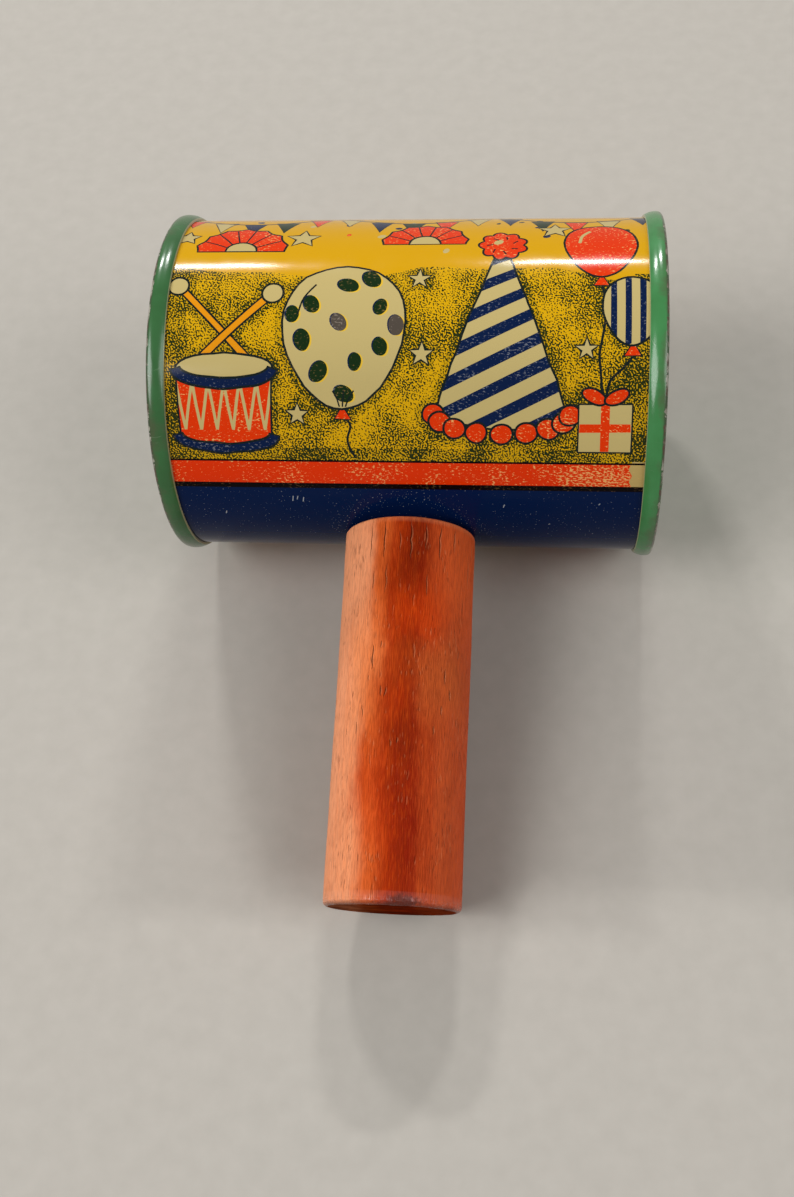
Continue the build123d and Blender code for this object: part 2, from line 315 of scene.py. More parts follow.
pore_over = add(tree, "Math", [grain["pores"], tear_hold], operation="SUBTRACT")
pore_mask = add(tree, "MapRange", [pore_over, 0.0, 0.10, 0.0, 0.42])
# Painted highlight: the pale nicks sit just beside the pores, where a pore's far wall would catch the light.
pore_highlight_over = add(tree, "Math", [grain["pore highlights"], tear_hold], operation="SUBTRACT")
pore_highlight_mask = add(tree, "MapRange", [pore_highlight_over, 0.0, 0.10, 0.0, 0.22])

# Growth rings round a pith that lies beside the dowel. A wave texture of scale 1 has rings 2 pi / 20 apart.
ring_spacing = 1.7
pith = (-21, -9)
ring_room = add(tree, "Mapping", {"Vector": spot, "Location": (-pith[0] * MM, -pith[1] * MM, 0.0),
                                  "Scale": (1.0, 1.0, 0.06)})
rings = add(tree, "TexWave",
            {"Vector": ring_room, "Scale": 2 * math.pi / 20 / (ring_spacing * MM), "Distortion": 3.0,
             "Detail": 3.0, "Detail Scale": 0.6}, wave_type="RINGS", rings_direction="Z")
streak_mask = add(tree, "MapRange", [grain["streaks"], 0.34, 0.66])
pale_mask = add(tree, "Math", [streak_mask, rings.outputs["Fac"]], operation="MULTIPLY")
pale_share = add(tree, "MapRange", [pale_mask, 0.0, 1.0, 0.0, 0.13])

# The tone across the dowel, from the pale side through the dark band to the plain orange side: partly the
# dye, and partly painted light, with a painted sheen on the pale side and painted shade over the dark middle
# band.
# Its edges wander: slow clouds shift them by up to 1 mm, and fine streaks by up to half of that.
cloud_shift = add(tree, "MapRange", [grain["clouds"], 0.25, 0.75, -1.0 * MM, 1.0 * MM])
streak_shift = add(tree, "MapRange", [grain["streaks"], 0.25, 0.75, -0.5 * MM, 0.5 * MM])
shift = add(tree, "Math", [cloud_shift, streak_shift], operation="ADD")
sideways = add(tree, "Math", [place.outputs[0], shift], operation="ADD")
tone_place = add(tree, "MapRange", [sideways, -handle_radius * MM, handle_radius * MM])
# Painted light in the ramp: its pale low stops are a painted sheen, and its deep middle stops are painted
# shade.
dye_and_light_tone = add(tree, "ValToRGB", [tone_place])
dye_and_light_tone.color_ramp.interpolation = "EASE"
dye_and_light_tone.color_ramp.elements[0].color = colour("#f6a376")
dye_and_light_tone.color_ramp.elements[1].color = colour("#d4562c")
for stop, code in ((0.20, "#ec9668"), (0.34, "#cc5a24"), (0.47, "#a22c02"), (0.61, "#8e1e00"),
                   (0.75, "#b03f18"), (0.88, "#c4522a")):
    dye_and_light_tone.color_ramp.elements.new(stop).color = colour(code)
patch_spread = add(tree, "MapRange", [grain["clouds"], 0.48, 0.70, 0.0, 0.46])
darker_side = add(tree, "MapRange", [tone_place, 0.22, 0.46, 0.18])
patch_mask = add(tree, "Math", [patch_spread, darker_side], operation="MULTIPLY")
layers = [(pale_share, "#e2661e"), (patch_mask, "#8a2602")]

# Soft patches where the dye took more or less, and two pale ones near the drum that are painted light where
# the
# drum shades the handle: place across and along and half sizes in mm, colour, strength.
wander = add(tree, "VectorMath", [grain["clouds"].outputs["Color"], (0.5, 0.5, 0.5)], operation="SUBTRACT")
wandered = add(tree, "VectorMath", [wander, (8 * MM, 8 * MM, 16 * MM), spot], operation="MULTIPLY_ADD")
for patch_across, patch_along, half_wide, half_long, code, strength in (
        (2.0, 38, 3.6, 8, "#661802", 0.46), (5.0, 51.5, 6.0, 7, "#c83c04", 0.60),
        (1.5, 62, 4.0, 5, "#94380e", 0.45), (2.4, 75.5, 3.4, 6, "#741800", 0.52),
        (8.0, 65, 5.0, 9, "#bc5c2a", 0.50), (2.0, 92, 4.2, 15, "#821400", 0.55),
        # The pale patches at 10.5 and -10.5 across are painted light, brightening the handle where the drum
        # shades it.
        (-3.4, 87, 4.0, 14, "#c43a06", 0.50), (10.5, 43, 5.5, 16, "#e2602c", 0.75),
        (-6.0, 62, 4.0, 14, "#e88850", 0.50), (-10.5, 39, 5.5, 15, "#ffac7c", 0.55)):
    patch_room = add(tree, "Mapping",
                     {"Vector": wandered, "Scale": (1 / (half_wide * MM), 0.0, 1 / (half_long * MM)),
                      "Location": (-patch_across / half_wide, 0.0, -patch_along / half_long)})
    patch_away = add(tree, "VectorMath", [patch_room], operation="LENGTH")
    patch_near = add(tree, "MapRange",
                     [patch_away, 1.2, 0.2, 0.0, strength], interpolation_type="SMOOTHSTEP")
    layers.append((patch_near, code))
pale_fibre_mask = add(tree, "MapRange", [grain["fibres"], 0.52, 0.72, 0.0, 0.19])
fibre_mask = add(tree, "MapRange", [grain["fibres"], 0.54, 0.30, 0.0, 0.32])

# The free end's edge and face are darkened, partly by black-brown grime soaked in and partly by painted shade
# along the edge, and the worst of the grime lies in one stain on the upper side.
end_grime_and_shade = add(tree, "MapRange", [place.outputs[2], (handle_end - 0.8) * MM, handle_end * MM, 0.0, 1.5])
end_dirt_and_shade = add(tree, "Math", [end_grime_and_shade, grain["clouds"]], operation="MULTIPLY")
stain_spot = Vector((3.2, 12.2, 105.0)) * MM
stain_scale = Vector((0.5, 1.0, 1.1))
stain_room = add(tree, "Mapping",
                 {"Vector": spot, "Location": -stain_spot * stain_scale, "Scale": stain_scale})
stain_away = add(tree, "VectorMath", [stain_room], operation="LENGTH")
stain_near = add(tree, "MapRange", [stain_away, 3.2 * MM, 0.4 * MM, 0.0, 0.55])
grit_size = 1.4
grit = add(tree, "TexNoise",
           {"Vector": spot, "Scale": 1 / (grit_size * MM), "Detail": 5.0, "Roughness": 0.7})
stain_ragged = add(tree, "Math", [stain_near, grit], operation="ADD")
stain_mask = add(tree, "MapRange", [stain_ragged, 0.66, 0.90, 0.0, 0.85])
grime_and_shade_mask = add(tree, "Math", [end_dirt_and_shade, stain_mask], operation="MAXIMUM")

# Cracks are painted dark with shade that deepens with their depth, their raised lip has a painted highlight,
# and the edge at the drum is rubbed pale.
crack_mark = add(tree, "Attribute", attribute_name="crack")
crack_shade_mask = add(tree, "MapRange", [crack_mark.outputs["Fac"], 0.10, 0.70, 0.0, 0.92])
# Painted highlight on each crack's raised lip.
lip_mark = add(tree, "Attribute", attribute_name="lip")
lip_highlight_mask = add(tree, "MapRange", [lip_mark.outputs["Fac"], 0.0, 1.0, 0.0, 0.28])
top_edge = add(tree, "MapRange",
               [place.outputs[2], (handle_top + 1.3) * MM, (handle_top + 0.2) * MM, 0.0, 0.6])
top_worn = add(tree, "Math", [top_edge, grit], operation="MULTIPLY")
layers += [(pale_fibre_mask, "#e4671e"), (fibre_mask, "#7c2606"), (pore_highlight_mask, "#e89868"),
           (pore_mask, "#6f240c"), (grime_and_shade_mask, "#4a1608"), (crack_shade_mask, "#4e1806"), (lip_highlight_mask, "#eea272"),
           (top_worn, "#e8986a")]
wood_tone = dye_and_light_tone
for mask, code in layers:
    wood_tone = add(tree, "Mix", {0: mask, 6: wood_tone, 7: code}, data_type="RGBA")
hollows = add(tree, "Math", [pore_mask, fibre_mask], operation="ADD")
relief = add(tree, "Bump", {"Height": hollows, "Strength": 1.0, "Distance": 0.22 * MM}, invert=True)
polish = add(tree, "MapRange",
             [place.outputs[2], (handle_end - 3.2) * MM, (handle_end - 0.6) * MM, 0.46, 0.34])
feed(surface, {"Base Color": wood_tone, "Normal": relief, "Roughness": polish, "IOR": 1.45,
               "Specular IOR Level": 0.05})

# Burnished edge: handling has polished the dye at the free end's round, so the edge catches glossy glints.
glossy_wood = wood.copy()
glossy_wood.name = "burnished stained beech"
glossy_tree = glossy_wood.node_tree
matt_spots = add(glossy_tree, "MapRange", [glossy_tree.nodes[grit.name], 0.44, 0.58, 0.0, 0.6])
matt_start = add(glossy_tree, "MapRange",
                 [glossy_tree.nodes[place.name].outputs[2], gloss_start * MM, side_high * MM, 0.75, 0.13])
glints = add(glossy_tree, "Math", [matt_spots, matt_start], operation="MAXIMUM")
feed(glossy_tree.nodes["Principled BSDF"], {"Roughness": glints, "Specular IOR Level": 0.40})

# End grain: the sawn free end, open pores that drink the dye and dirt and give no shine at all.
end_grain = wood.copy()
end_grain.name = "end grain of stained beech"
feed(end_grain.node_tree.nodes["Principled BSDF"], {"Specular IOR Level": 0.0})
for finish in (wood, glossy_wood, end_grain):
    handle.data.materials.append(finish)
for polygon in handle.data.polygons:
    middle = polygon.center
    if middle.z > gloss_start * MM:
        on_round = math.hypot(middle.x, middle.y) > (handle_radius - end_round) * MM
        polygon.material_index = 1 if on_round else 2
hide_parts("handle")
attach(handle, "handle")


# Axle, wheel pin and washers: drawn steel rod, peened over above the drum, with stamped steel washers.
# The rod is pressed into the handle, and the washers keep the spinning drum off the handle and the head.
# Drawn steel: bright grey metal with fine lines along the draw, dulled by brown spots of old oil.
# The drawing lines are drawn coarser than real ones, which would be too fine to show.
draw_line_wide = 0.3
draw_line_long = 2.4
oil_spot = 1.8
steel, tree, surface = finish_of("drawn steel")
spot = add(tree, "TexCoord").outputs["Object"]
line_room = add(tree, "Mapping",
                {"Vector": spot, "Scale": (1 / (draw_line_wide * MM), 1 / (draw_line_long * MM),
                 1 / (draw_line_long * MM))})
draw_lines = add(tree, "TexNoise", {"Vector": line_room, "Scale": 1.0, "Detail": 3.0})
oil = add(tree, "TexNoise", {"Vector": spot, "Scale": 1 / (oil_spot * MM), "Detail": 4.0})
oil_mask = add(tree, "MapRange", [oil, 0.52, 0.70, 0.0, 0.7])
oiled = add(tree, "Mix", {0: oil_mask, 6: "#b4b2ad", 7: "#6f5a45"}, data_type="RGBA")
steel_dull = add(tree, "MapRange", [draw_lines, 0.0, 1.0, 0.26, 0.46])
relief = add(tree, "Bump", {"Height": draw_lines, "Strength": 0.25, "Distance": 0.05 * MM})
feed(surface, {"Base Color": oiled, "Roughness": steel_dull, "Normal": relief, "Metallic": 1.0})


def coat(material, *names):
    """Gives CAD nodes a material."""
    for name in names:
        for material_slot in frame["nodes"][name].material_slots:
            material_slot.material = material


coat(steel, "axle", "wheel_pin", "thrust_washer", "top_washer")


# Ratchet wheel: a toothed wheel cut from a beech blank and pinned to the axle inside the drum, where it
# stands still while the reeds go round it. It can't be seen from outside.
# Plain beech: pale tan with fine darker flecks along the grain, matt as it came from the cutter.
beech, tree, surface = finish_of("plain beech")
spot = add(tree, "TexCoord").outputs["Object"]
beech_room = add(tree, "Mapping", {"Vector": spot, "Scale": (1 / (0.8 * MM), 1 / (12 * MM), 1 / (0.8 * MM))})
beech_grain = add(tree, "TexNoise", {"Vector": beech_room, "Scale": 1.0, "Detail": 3.0})
fleck_room = add(tree, "Mapping", {"Vector": spot, "Scale": (1 / (0.3 * MM), 1 / (2 * MM), 1 / (0.3 * MM))})
beech_flecks = add(tree, "TexNoise", {"Vector": fleck_room, "Scale": 1.0, "Detail": 1.0})
fleck_mask = add(tree, "MapRange", [beech_flecks, 0.60, 0.70])
beech_tone = add(tree, "Mix", {0: beech_grain, 6: "#b98f5e", 7: "#d8b686"}, data_type="RGBA")
beech_flecked = add(tree, "Mix", {0: fleck_mask, 6: beech_tone, 7: "#8d6238"}, data_type="RGBA")
relief = add(tree, "Bump", {"Height": beech_grain, "Strength": 0.3, "Distance": 0.1 * MM})
feed(surface, {"Base Color": beech_flecked, "Normal": relief, "Roughness": 0.6})
coat(beech, "ratchet_wheel")


# Drum shell: one sheet of tinplate, printed flat and varnished, then rolled and joined by a lock seam.
# The print runs round the drum: a navy band at the handle, a red stripe on each side of it, then a party
# frieze on stippled ground, twice, feet to the handle, with plain yellow over the top between the two.
shell_radius = 32.8
shell_half = 46.95
bleed = 47.5
tin = 0.3
seam_angle = -35.0
seam_gap = 0.15
fold_width = 4.5
fold_height = 0.7
fold_inset = 3.0
fold_steps = 4
eyelet_hole = 2.75
navy_edge = 30.15
stripe_edge = 38.95
rule_width = 0.28
under_rule_width = 1.2
line_width = 0.42
halo_width = 1.2
hand_waver = 0.16
grid_step = 3
sheet_length = 2 * math.pi * shell_radius
arc = math.radians(1) * shell_radius

# Inks: colour, how dense the stipple on it is, how far it shows rubbed flecks, and how far fine specks.
inks = {
    "yellow": ("#cb9802", 0.0, 0.05, 0.0),
    "ground": ("#cf9f06", 0.40, 0.05, 0.0),
    "shade": ("#c39706", 0.60, 0.05, 0.0),
    "red": ("#d63200", 0.0, 1.0, 0.0),
    "stripe red": ("#d63000", 0.0, 0.9, 0.0),
    "navy": ("#02183e", 0.0, 0.75, 0.45),
    "navy band": ("#021840", 0.0, 0.3, 1.0),
    "cream": ("#b9a66c", 0.0, 0.05, 0.0),
    "green": ("#10280e", 0.0, 0.25, 0.0),
    "worn green": ("#4c443c", 0.0, 0.5, 0.3),
    "fringe": ("#d8b034", 0.0, 0.1, 0.0),
    "orange": ("#d88a0c", 0.0, 0.2, 0.0),
    "black": ("#0f1a1a", 0.0, 0.1, 0.0),
    "rule": ("#0a0406", 0.0, 0.1, 0.0),
    "bare": ("#b39a5e", 0.0, 0.3, 0.0),
    "scratch": ("#98a0a8", 0.0, 0.0, 0.0),
}
grounds = []
motifs = []


def on_sheet(points, side):
    """Turns points (sideways, up from the stripe) of the frieze into places on the flat sheet, in mm.

    A hand's waver moves each point a little, and the far side of the drum is the same frieze turned round.
    """
    places = []
    for sideways, up in points:
        wavers = [hand_waver * noise.noise(Vector((sideways * 0.35, up * 0.35, 7 * side + shift)))
                  for shift in (0, 50)]
        sideways_drawn = sideways + wavers[0]
        up_drawn = up + wavers[1]
        if side == 0:
            places.append((sideways_drawn, (stripe_edge - seam_angle) * arc + up_drawn))
        else:
            places.append((-sideways_drawn, (360 - stripe_edge - seam_angle) * arc - up_drawn))
    return np.array(places)


def paint(points, ink, within=None, layer=motifs):
    """Lays an ink over a shape of the frieze, on both sides of the drum, within another shape if given."""
    for side in (0, 1):
        limit = None if within is None else on_sheet(within, side)
        layer.append((on_sheet(points, side), ink, limit))


def grown(points, step):
    """A closed outline moved outwards by a step in mm, or inwards by a negative one."""
    line = np.array(points, float)
    before = line - np.roll(line, 1, axis=0)
    after = np.roll(line, -1, axis=0) - line
    before /= np.linalg.norm(before, axis=1)[:, None] + 1e-9
    after /= np.linalg.norm(after, axis=1)[:, None] + 1e-9
    way = before + after
    way /= np.linalg.norm(way, axis=1)[:, None] + 1e-9
    turning = np.sum(line[:, 0] * np.roll(line[:, 1], -1) - line[:, 1] * np.roll(line[:, 0], -1))
    out = np.stack([way[:, 1], -way[:, 0]], axis=1) * (1 if turning > 0 else -1)
    return line + out * step


def outlined(points, ink):
    """A shape with a dark hand-drawn outline, thick and thin as the pen pressed."""
    press = np.array([noise.noise(Vector((sideways * 0.22, up * 0.22, 4.0))) for sideways, up in points])
    paint(grown(points, line_width / 2 * (1 + 0.9 * press)[:, None]), "black")
    paint(grown(points, -line_width / 2 * (1 - 0.9 * press)[:, None]), ink)


def drawn(points, ink):
    """An outlined shape, with denser stipple on the ground round it."""
    paint(grown(points, line_width / 2 + halo_width), "shade", ground, grounds)
    outlined(points, ink)


def around(middle, reach, turn, flatness=1.0):
    """The point at a reach in mm and an angle in radians from a middle, on a round or a flattened one."""
    return middle[0] + reach * math.cos(turn), middle[1] + reach * flatness * math.sin(turn)


def oval(sideways, up, half_width, half_height, lean=0, steps=28):
    """An ellipse, leaning by degrees."""
    tilt = math.radians(lean)
    points = []
    for step in range(steps):
        angle = 2 * math.pi * step / steps
        wide = half_width * math.cos(angle)
        high = half_height * math.sin(angle)
        points.append((sideways + wide * math.cos(tilt) - high * math.sin(tilt),
                       up + wide * math.sin(tilt) + high * math.cos(tilt)))
    return points


def flowing(corners, closed=True, steps=7):
    """A smooth curve through corner points."""
    count = len(corners)
    points = []
    for index in range(count if closed else count - 1):
        picks = [index - 1, index, index + 1, index + 2]
        if closed:
            picks = [pick % count for pick in picks]
        else:
            picks = [min(max(pick, 0), count - 1) for pick in picks]
        before, start, stop, after = [np.array(corners[pick], float) for pick in picks]
        for step in range(steps):
            share = step / steps
            points.append(tuple(0.5 * (2 * start + (stop - before) * share
                                       + (2 * before - 5 * start + 4 * stop - after) * share ** 2
                                       + (3 * start - before - 3 * stop + after) * share ** 3)))
    if not closed:
        points.append(tuple(corners[-1]))
    return points


def strip(corners, width, steps=7):
    """A ribbon of even width along a smooth open curve."""
    line = np.array(flowing(corners, False, steps))
    way = np.gradient(line, axis=0)
    way /= np.linalg.norm(way, axis=1)[:, None] + 1e-9
    out = np.stack([-way[:, 1], way[:, 0]], axis=1) * width / 2
    return [tuple(point) for point in np.concatenate([line + out, (line - out)[::-1]])]


def box(left, low, right, high):
    """An upright rectangle."""
    return [(left, low), (right, low), (right, high), (left, high)]


def balloon(sideways, up, half_width, half_height, ink, foot):
    """A balloon with its knot and a string that sways down to a foot. Returns the inside of its outline."""
    body = []
    for step in range(40):
        angle = 2 * math.pi * step / 40
        body.append((sideways + half_width * math.sin(angle) * (1 + 0.16 * math.cos(angle)),
                     up + half_height * math.cos(angle)))
    knot = up - half_height
    sway = [(sideways, knot - 1.5), (sideways * 0.7 + foot[0] * 0.3 + 0.7, knot * 0.68 + foot[1] * 0.32),
            (sideways * 0.3 + foot[0] * 0.7 - 0.6, knot * 0.34 + foot[1] * 0.66), foot]
    paint(strip(sway, 0.45), "black")
    drawn([(sideways, knot + 0.6), (sideways - 1.5, knot - 1.9), (sideways + 1.5, knot - 1.9)], "red")
    drawn(body, ink)
    if ink != "cream":
        paint(strip([(sideways - half_width * 0.58, up + half_height * 0.15),
                     (sideways - half_width * 0.52, up + half_height * 0.45),
                     (sideways - half_width * 0.28, up + half_height * 0.70)], 0.6), "cream")
    return grown(body, -line_width / 2)


# Ground and sky: low hills meet a plain yellow sky, and the stipple thickens at the stripe and at both ends.
hills = [(along, 36.5 + 1.6 * math.sin(along / 9.0) + 0.8 * math.sin(along / 4.1 + 1))
         for along in np.linspace(-bleed, bleed, 39)]
ground = [(bleed, 0), *hills[::-1], (-bleed, 0)]
paint(ground, "ground", None, grounds)
paint([(bleed, 0), (bleed, 2.6), (-bleed, 2.6), (-bleed, 0)], "shade", None, grounds)
for end in (-1, 1):
    edge = [(end * bleed, 0), (end * bleed, 36), (end * 41.5, 36), (end * 39.5, 18), (end * 41.0, 0)]
    paint(edge, "shade", None, grounds)

# Bunting on a cord across the sky, with confetti.
confetti = random.Random(5)
for scrap in range(46):
    sideways = confetti.uniform(-43, 43)
    up = confetti.uniform(42, 80)
    size = confetti.uniform(0.5, 0.95)
    ink = confetti.choice(["red", "navy", "cream", "green"])
    paint(oval(sideways, up, size, size * 0.7, confetti.uniform(0, 180), 12), ink)
pennant_inks = ["red", "cream", "navy", "green"]
swag_span = 31
swag_top = 61
swag_dip = 26
for swag in range(3):
    start = -46.5 + swag_span * swag
    cord = [(start + swag_span * share, swag_top - swag_dip * share * (1 - share))
            for share in np.linspace(0, 1, 9)]
    for flag in range(5):
        share = (flag + 0.5) / 5
        middle = start + swag_span * share
        top = swag_top - swag_dip * share * (1 - share)
        pennant = [(middle - 2.2, top), (middle, top - 6.0), (middle + 2.2, top)]
        outlined(pennant, pennant_inks[(flag + swag) % 4])
    paint(strip(cord, 0.5, 3), "black")

# Spotted balloon: each spot lies in three inks out of register, and two of the spots have worn.
spotted = (-11, 24)
spotted_inside = balloon(*spotted, 11.2, 14.0, "cream", (-9, 0.8))
for number, (sideways, up, lean) in enumerate((
        (-6.2, 5.6, 20), (0.4, 9.6, 70), (6.6, 5.0, -20), (-7.6, -1.4, 10), (-1.0, 2.0, 30),
        (6.8, -2.6, 15), (-4.4, -7.2, -25), (2.2, -5.4, 0), (0.2, -11.2, 60), (9.6, 1.4, 5),
        (-9.6, 3.6, 0), (4.6, 11.0, 40))):
    middle = sideways + spotted[0]
    height = up + spotted[1]
    size = 1 + 0.12 * math.sin(2.4 * number)
    paint(oval(middle + 0.32, height - 0.1, 1.4 * size, 1.9 * size, lean), "fringe", spotted_inside)
    paint(oval(middle - 0.16, height + 0.05, 1.4 * size, 1.9 * size, lean), "navy", spotted_inside)
    spot_ink = "worn green" if number in (4, 9) else "green"
    paint(oval(middle + 0.04, height, 1.36 * size, 1.86 * size, lean), spot_ink, spotted_inside)
for lean in (-1.0, 0.1, 1.1):
    crease = [(spotted[0] + spread * lean, up) for spread, up in ((0.5, 10.4), (1.0, 11.8), (1.9, 13.4))]
    paint(strip(crease, 0.28, 3), "black")
paint(strip([(-19.6, 27.5), (-18.6, 31.0), (-16.6, 33.8)], 0.34, 4), "black")

# Striped party hat with a red pompom and a red frill.
hat = flowing([(17.5, 43), (14.0, 33), (10.2, 22), (6.4, 9.5), (12, 7.2), (18, 6.4), (24, 7.0), (29.5, 9.0),
               (25.6, 21), (21.2, 33)])
drawn(hat, "cream")
hat_inside = grown(hat, -line_width / 2)
for band in range(9):
    low = 2.0 + 5.2 * band
    paint([(2, low - 7), (34, low + 9), (34, low + 11.3), (2, low - 4.7)], "navy", hat_inside)
for ball in range(9):
    drawn(oval(*around((18, 9.4), 12.4, math.pi * (1.02 + 0.96 * ball / 8), 3.9 / 12.4), 2.0, 1.9), "red")
pompom = (17.5, 44.2)
pompom_radius = 4.6
lobes = 9
lobe_depth = 0.18
frilled = []
for step in range(lobes * 8):
    turn = 2 * math.pi * step / (lobes * 8)
    frill = 1 - lobe_depth + lobe_depth * abs(math.sin(lobes * turn / 2))
    frilled.append(around(pompom, pompom_radius * frill, turn))
drawn(frilled, "red")
paint(oval(16.6, 45.2, 1.0, 0.7, 30, 12), "cream")
for tuft in range(7):
    turn = 2 * math.pi * (tuft + 0.3) / 7
    paint(strip([around(pompom, 1.9, turn), around(pompom, 3.0, turn + 0.2)], 0.3, 2), "black")

# Toy drum with crossed sticks.
for foot, tip in (((-42.5, 33.5), (-28.5, 19.0)), ((-24.5, 32.0), (-37.5, 19.0))):
    drawn(strip([foot, tip], 1.5, 2), "orange")
    drawn(oval(*foot, 2.0, 2.0), "cream")
barrel = [(-42.0, 17.5), (-41.6, 4.5)]
barrel += [around((-33, 4.5), 8.6, turn, 2.4 / 8.6)
           for turn in np.linspace(math.pi * 1.08, math.pi * 1.92, 12)]
barrel += [(-24.4, 4.5), (-24.0, 17.5)]
drawn(barrel, "red")
barrel_inside = grown(barrel, -line_width / 2)
for lace in range(6):
    left = -42 + 3.0 * lace
    paint(strip([(left, 15.0), (left + 1.5, 6.0)], 0.55, 2), "cream", barrel_inside)
    paint(strip([(left + 1.5, 6.0), (left + 3.0, 15.0)], 0.55, 2), "cream", barrel_inside)
hoop = [around((-33, 17.3), 9.2, turn, 2.7 / 9.2) for turn in np.linspace(math.pi, 2 * math.pi, 14)]
low_hoop = [(sideways, up - 12.2) for sideways, up in hoop]
outlined(strip(low_hoop, 1.9, 2), "navy")
drawn(oval(-33, 17.3, 9.2, 2.9), "cream")
outlined(strip(hoop, 1.9, 2), "navy")

# Two balloons tied to a parcel.
balloon(35.5, 43.5, 6.6, 8.2, "red", (36.2, 12.0))
striped_inside = balloon(41.2, 28.5, 5.4, 6.8, "cream", (36.6, 12.0))
for band in range(6):
    left = 34.6 + 2.6 * band
    paint(box(left, 20, left + 1.1, 37), "navy", striped_inside)
drawn(box(31.8, 2.2, 41.4, 11.2), "cream")
paint(box(35.8, 2.4, 37.4, 11.0), "red")
paint(box(32.0, 6.0, 41.2, 7.5), "red")
drawn(oval(34.6, 12.5, 2.3, 1.25, -25), "red")
drawn(oval(38.6, 12.5, 2.3, 1.25, 25), "red")

# Red paper fans, each folded seven times round a cream hub, and cream stars: middle and radius.
folds = 7
hub_radius = 3.0
for middle, radius in (((-32, 42.5), 9.0), ((2.8, 44.5), 8.4)):
    drawn([around(middle, radius * (1 - 0.07 * abs(math.cos(folds * turn))), turn)
           for turn in np.linspace(0, math.pi, 57)], "red")
    for fold in range(1, folds):
        turn = math.pi * fold / folds
        paint(strip([around(middle, hub_radius, turn), around(middle, radius * 0.9, turn)], 0.3, 2), "black")
    outlined([around(middle, hub_radius, turn) for turn in np.linspace(0, math.pi, 17)], "cream")
for middle, radius in (((-20.5, 47), 3.4), ((27.0, 50), 3.2), ((-43, 47.5), 2.6), ((2.5, 35), 2.4),
                       ((-19.4, 9.0), 2.2), ((33.0, 21.0), 2.2), ((3.4, 20.0), 2.3)):
    drawn([around(middle, radius if point % 2 == 0 else radius * 0.45, math.pi * (0.5 + point / 5))
           for point in range(10)], "cream")


def belt(low, high, ink):
    """A straight band of ink round the drum between two angles from the handle, in degrees."""
    band = box(-shell_half, (low - seam_angle) * arc, shell_half, (high - seam_angle) * arc)
    motifs.append((np.array(band), ink, None))


# Stripes, rules and navy band, with the stripe's worn-off corner and a few scratches down to the tin.
rule_angle = rule_width / arc
under_rule_angle = under_rule_width / arc
belt(navy_edge, stripe_edge, "stripe red")
paint([(41.8, 0.4), (41.2, -1.2), (41.9, -2.6), (41.4, -4.0), (42.2, -5.6), (bleed, -5.6), (bleed, 0.4)],
      "bare")
belt(stripe_edge, stripe_edge + 0.2, "rule")
belt(stripe_edge - rule_angle, stripe_edge, "rule")
belt(navy_edge - under_rule_angle, navy_edge, "rule")
belt(seam_angle, navy_edge - under_rule_angle, "navy band")
for sideways, low, high in ((-21.8, 22.0, 24.4), (-20.9, 22.8, 24.4), (-19.8, 21.8, 23.9),
                            (27.0, 11.0, 11.5), (18.4, 20.1, 21.6), (-35.5, 15.0, 16.4),
                            (36.2, 22.0, 22.7)):
    ends = [(sideways, (low - seam_angle) * arc), (sideways + 0.25, (high - seam_angle) * arc)]
    motifs.append((np.array(strip(ends, 0.16, 2)), "scratch", None))
belt(-navy_edge, -navy_edge + under_rule_angle, "rule")
belt(seam_angle, -navy_edge, "stripe red")
belt(360 - stripe_edge, 360 + seam_angle, "stripe red")
belt(360 - stripe_edge, 360 - stripe_edge + rule_angle, "rule")

# The flat sheet is cut into triangles along every printed outline and along lines that let it bend round.
sheet_low = seam_gap / 2
sheet_high = sheet_length - seam_gap / 2
limits = ((-shell_half, sheet_low), (shell_half, sheet_high))
print_lines = [(box(-shell_half, sheet_low, shell_half, sheet_high), True)]
for turn in range(grid_step, 360, grid_step):
    print_lines.append(([(-shell_half, turn * arc), (shell_half, turn * arc)], False))
for points, ink, within in grounds + motifs:
    print_lines.append((np.clip(points, *limits), True))
eyelet_rims = []
for angle in (0, 180):
    rim = np.array(oval(0, (angle - seam_angle) * arc, eyelet_hole, eyelet_hole, 0, 40))
    eyelet_rims.append(rim)
    print_lines.append((rim, True))
flat_spots, flat_faces = cut_sheet(print_lines)
middles = flat_spots[flat_faces].mean(axis=1)


def inside(points, spots):
    """Which spots lie inside a closed outline."""
    low = points.min(axis=0)
    high = points.max(axis=0)
    near = np.nonzero(((spots >= low) & (spots <= high)).all(axis=1))[0]
    sideways, up = spots[near].T
    hit = np.zeros(len(near), bool)
    for (here_side, here_up), (next_side, next_up) in zip(points, np.roll(points, -1, axis=0)):
        spans = (here_up > up) != (next_up > up)
        rise = next_up - here_up if next_up != here_up else 1e-12
        hit ^= spans & (sideways < here_side + (up - here_up) * (next_side - here_side) / rise)
    found = np.zeros(len(spots), bool)
    found[near[hit]] = True
    return found


kept = np.ones(len(flat_faces), bool)
for rim in eyelet_rims:
    kept &= ~inside(rim, middles)
flat_faces = flat_faces[kept]
middles = middles[kept]
ink_names = np.array(["yellow"] * len(flat_faces), dtype=object)
for points, ink, within in grounds + motifs:
    covered = inside(points, middles)
    if within is not None:
        covered &= inside(within, middles)
    ink_names[covered] = ink

